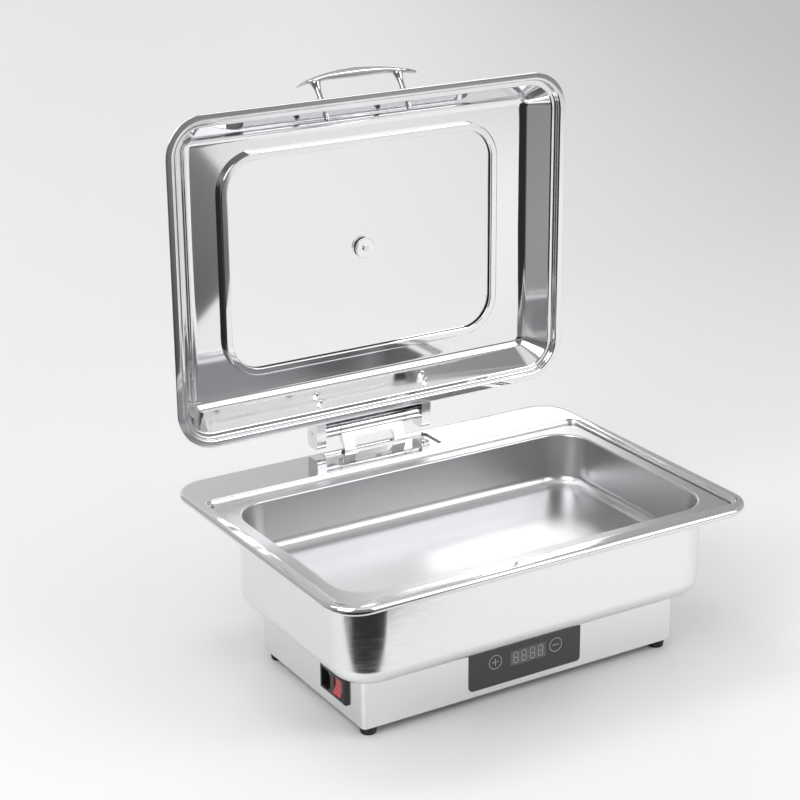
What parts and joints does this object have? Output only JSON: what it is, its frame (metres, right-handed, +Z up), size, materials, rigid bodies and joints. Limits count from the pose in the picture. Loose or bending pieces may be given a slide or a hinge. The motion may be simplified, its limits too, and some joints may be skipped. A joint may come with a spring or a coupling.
{
  "type": "electric chafing dish",
  "caption": "Countertop electric chafing dish: hinged lid with a glass window, lift-out food pan, water pan with a rolled rim, and a heated base with a touch panel and a mains inlet.",
  "frame": {"origin": "middle of the base, on the table under its feet", "axes": "+Z up, the control panel faces -Y, the hinge is on the +Y side, +X to the right seen from the front"},
  "size_m": [0.568, 0.4533, 0.6751],
  "materials": {
    "mirror_steel": "mirror-polished stainless steel",
    "satin_steel": "satin stainless steel",
    "bright_fasteners": "bright stainless steel",
    "clear_glass": "clear tempered glass",
    "black_gloss": "black gloss",
    "black_plastic": "black moulded plastic",
    "red_plastic": "translucent red",
    "black_rubber": "matt rubber",
    "circuit_board": "lacquered board",
    "brass_contacts": "bright brass",
    "blue_case": "moulded case",
    "wound_core": "taped winding",
    "white_insulator": "moulded insulator",
    "heater_metal": "cast",
    "element_sheath": "heat-darkened sheath"
  },
  "bodies": {
    "base": {"base_housing": "mirror_steel", "bottom_plate": "satin_steel", "bottom_screws": "bright_fasteners", "rubber_feet": "black_rubber", "foot_screws": "bright_fasteners", "foot_nuts": "bright_fasteners", "control_panel": "black_gloss", "control_board": "circuit_board", "display_module": "black_plastic", "touch_springs": "brass_contacts", "board_posts": "bright_fasteners", "board_screws": "bright_fasteners", "power_inlet": "black_plastic", "inlet_pins": "brass_contacts", "power_board": "circuit_board", "relay": "blue_case", "transformer": "wound_core", "capacitor": "black_plastic", "terminal_block": "white_insulator", "power_standoffs": "bright_fasteners", "power_screws": "bright_fasteners", "water_pan": "mirror_steel", "pan_studs": "bright_fasteners", "pan_nuts": "bright_fasteners", "heater_plate": "heater_metal", "heating_element": "element_sheath", "element_straps": "satin_steel", "strap_screws": "bright_fasteners", "thermostat": "white_insulator", "temperature_probe": "bright_fasteners", "heat_shield": "satin_steel", "shield_spacers": "white_insulator", "shield_screws": "bright_fasteners", "hinge_base": "satin_steel", "hinge_backing": "satin_steel", "hinge_screws": "bright_fasteners", "hinge_nuts": "bright_fasteners"},
    "lid": {"hinge_pin": "satin_steel", "hinge_sleeves": "satin_steel", "hinge_bracket": "satin_steel", "bracket_screws": "bright_fasteners", "bracket_nuts": "bright_fasteners", "lid_shell": "mirror_steel", "window_gasket": "black_rubber", "window_glass": "clear_glass", "window_ring": "satin_steel", "glass_washer": "bright_fasteners", "glass_screw": "bright_fasteners", "glass_cap": "bright_fasteners", "cap_seal": "black_rubber", "handle": "mirror_steel", "handle_nuts": "bright_fasteners"},
    "food_pan": {"food_pan": "satin_steel"},
    "rocker": {"rocker_switch": "red_plastic"}
  },
  "joints": [
    {"name": "lid_hinge", "type": "hinge", "parent": "base", "child": "lid", "pos_m": [0, 0.232, 0.226], "axis": [1, 0, 0], "range_deg": [0, 90]},
    {"name": "food_pan_lift", "type": "slide", "parent": "base", "child": "food_pan", "axis": [0, 0, 1], "range_m": [0, 0.01]},
    {"name": "rocker_tilt", "type": "hinge", "parent": "base", "child": "rocker", "pos_m": [-0.2165, -0.072, 0.044], "axis": [0, -1, 0], "range_deg": [0, 18]}
  ]
}
